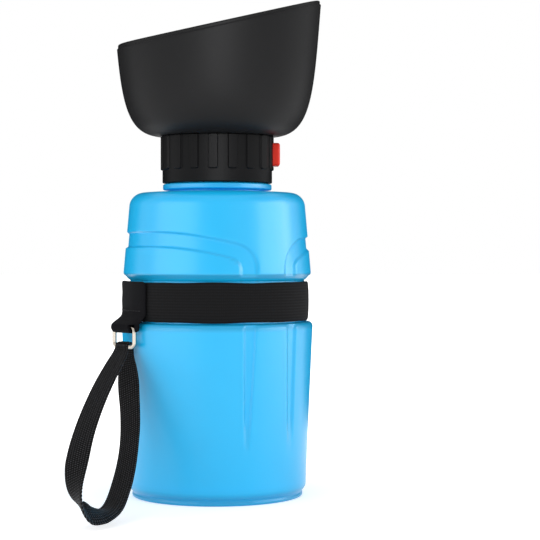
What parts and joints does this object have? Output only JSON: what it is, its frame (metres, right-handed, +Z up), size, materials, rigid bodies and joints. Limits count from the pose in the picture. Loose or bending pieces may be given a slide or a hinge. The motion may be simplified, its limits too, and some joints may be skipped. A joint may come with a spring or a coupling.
{
  "type": "dog travel water bottle",
  "caption": "Squeeze water bottle with a soft drinking scoop, a push-button valve in its screw collar, and a wrist strap on an elastic band.",
  "frame": {"origin": "middle of the base, on the floor", "axes": "+Z up through the neck, +X to the push button and the tall side of the scoop, -Y to the front"},
  "size_m": [0.1001, 0.1379, 0.2065],
  "materials": {
    "bottle_shell": "glossy blow-moulded",
    "band_elastic": "woven elastic",
    "tab_fabric": "stretch fabric, sewn",
    "ring_wire": "bright plated",
    "strap_webbing": "ribbed nylon webbing",
    "collar_plastic": "satin moulded",
    "valve_plastic": "satin moulded",
    "plug_silicone": "silicone",
    "bowl_rubber": "satin thermoplastic rubber",
    "clamp_plastic": "satin moulded",
    "valve_silicone": "translucent silicone",
    "grille_plastic": "satin moulded",
    "button_plastic": "semi-gloss moulded",
    "spool_plastic": "smooth acetal",
    "spool_rubber_inner": "nitrile",
    "spool_rubber_outer": "nitrile",
    "spring_steel": "drawn wire"
  },
  "bodies": {
    "bottle_body": {"bottle": "bottle_shell", "elastic_band": "band_elastic", "band_tab": "tab_fabric"},
    "neck_seal": {"plug_seal": "plug_silicone"},
    "cap": {"screw_collar": "collar_plastic", "valve_body": "valve_plastic", "bowl": "bowl_rubber", "bowl_clamp": "clamp_plastic", "outlet_valve": "valve_silicone", "outlet_grille": "grille_plastic", "button_spring": "spring_steel"},
    "button": {"flow_button": "button_plastic", "valve_spool": "spool_plastic", "spool_seal_inner": "spool_rubber_inner", "spool_seal_outer": "spool_rubber_outer"},
    "ring": {"d_ring": "ring_wire"},
    "strap": {"wrist_strap": "strap_webbing"}
  },
  "joints": [
    {"name": "cap_lift", "type": "slide", "parent": "bottle_body", "child": "neck_seal", "axis": [0, 0, 1], "range_m": [0, 0.00451]},
    {"name": "cap_turn", "type": "hinge", "parent": "neck_seal", "child": "cap", "pos_m": [0, 0, 0.1428], "axis": [0, 0, 1], "range_deg": [0, 540]},
    {"name": "button_press", "type": "slide", "parent": "cap", "child": "button", "axis": [-1, 0, 0], "range_m": [0, 0.0022], "stiffness_N_per_m": 250, "springref_m": -0.003, "deforming": ["button_spring"]},
    {"name": "ring_swing", "type": "hinge", "parent": "bottle_body", "child": "ring", "pos_m": [-0.0376, -0.0223, 0.071], "axis": [-0.766, 0.6428, 0], "range_deg": [0, 70]},
    {"name": "strap_swing", "type": "hinge", "parent": "ring", "child": "strap", "pos_m": [-0.0376, -0.0223, 0.0632], "axis": [-0.766, 0.6428, 0], "range_deg": [0, 45]}
  ],
  "couplings": [
    {"joint": "cap_lift", "follows": "cap_turn", "m_per_rad": 0.00047746}
  ]
}
